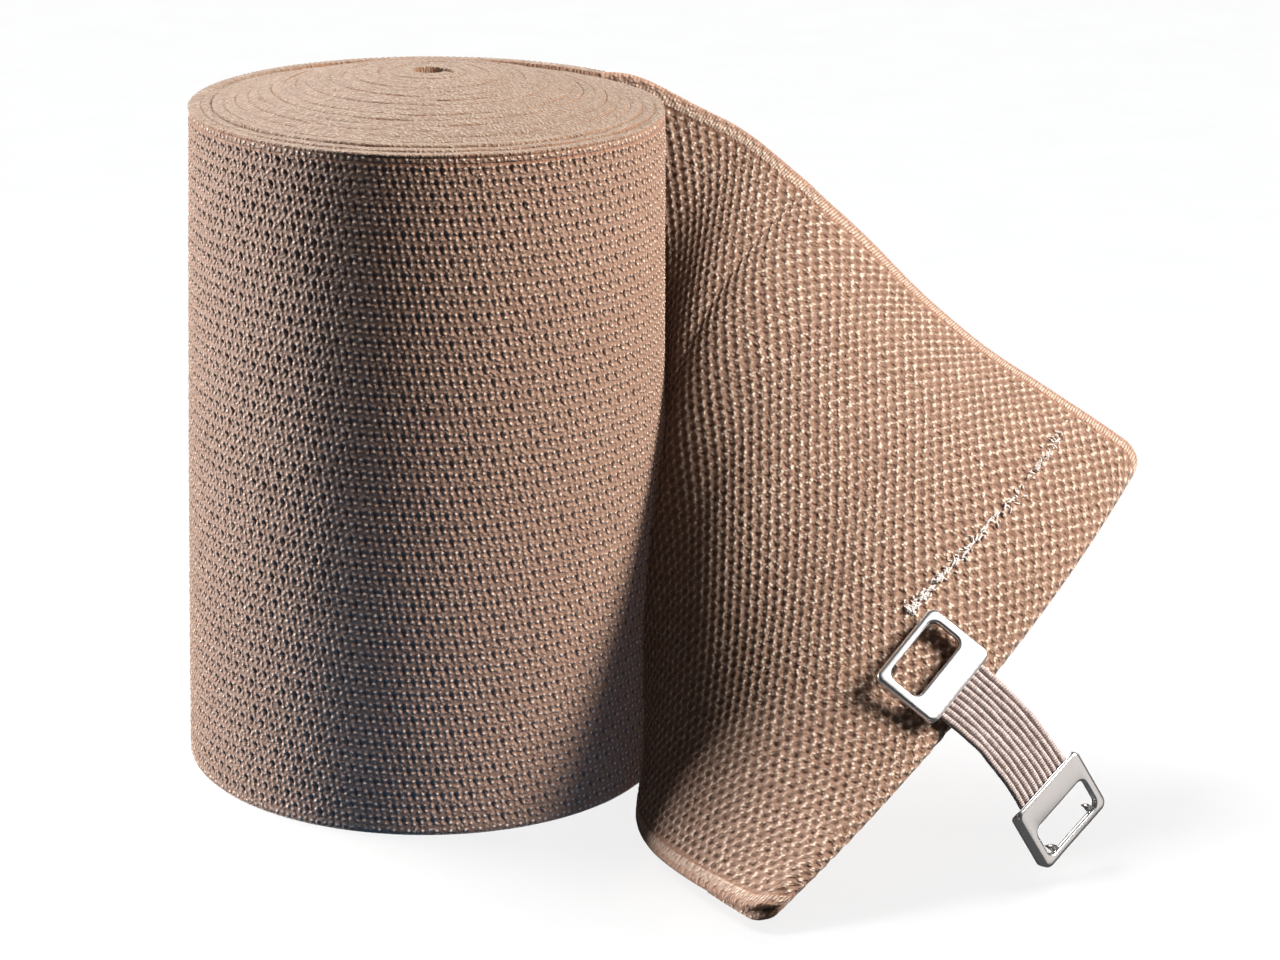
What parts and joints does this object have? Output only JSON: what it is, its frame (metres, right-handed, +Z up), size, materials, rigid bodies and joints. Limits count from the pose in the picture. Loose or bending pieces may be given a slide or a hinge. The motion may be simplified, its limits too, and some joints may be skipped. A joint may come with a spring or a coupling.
{
  "type": "compression bandage",
  "caption": "Elastic knitted bandage rolled on end, with its hemmed tail laid open and a two-plate elastic clip near the hem.",
  "frame": {"origin": "floor level under the middle of the whole outline, seen from above", "axes": "+X from the roll towards the open tail, -Y to the side from which the tail's inner face is seen, +Z up along the roll's axis"},
  "size_m": [0.1422, 0.102, 0.1045],
  "materials": {
    "knitted_cloth": "ribbed cotton and elastic knit, skin coloured, matt",
    "polished_steel": "thin bright steel sheet with rounded edges",
    "elastic_cord": "covered elastic cords side by side, greyish pink"
  },
  "bodies": {
    "root": {"bandage_roll": "knitted_cloth", "bandage_tail": "knitted_cloth", "near_clip_plate": "polished_steel", "far_clip_plate": "polished_steel", "clip_elastic": "elastic_cord"}
  },
  "joints": []
}
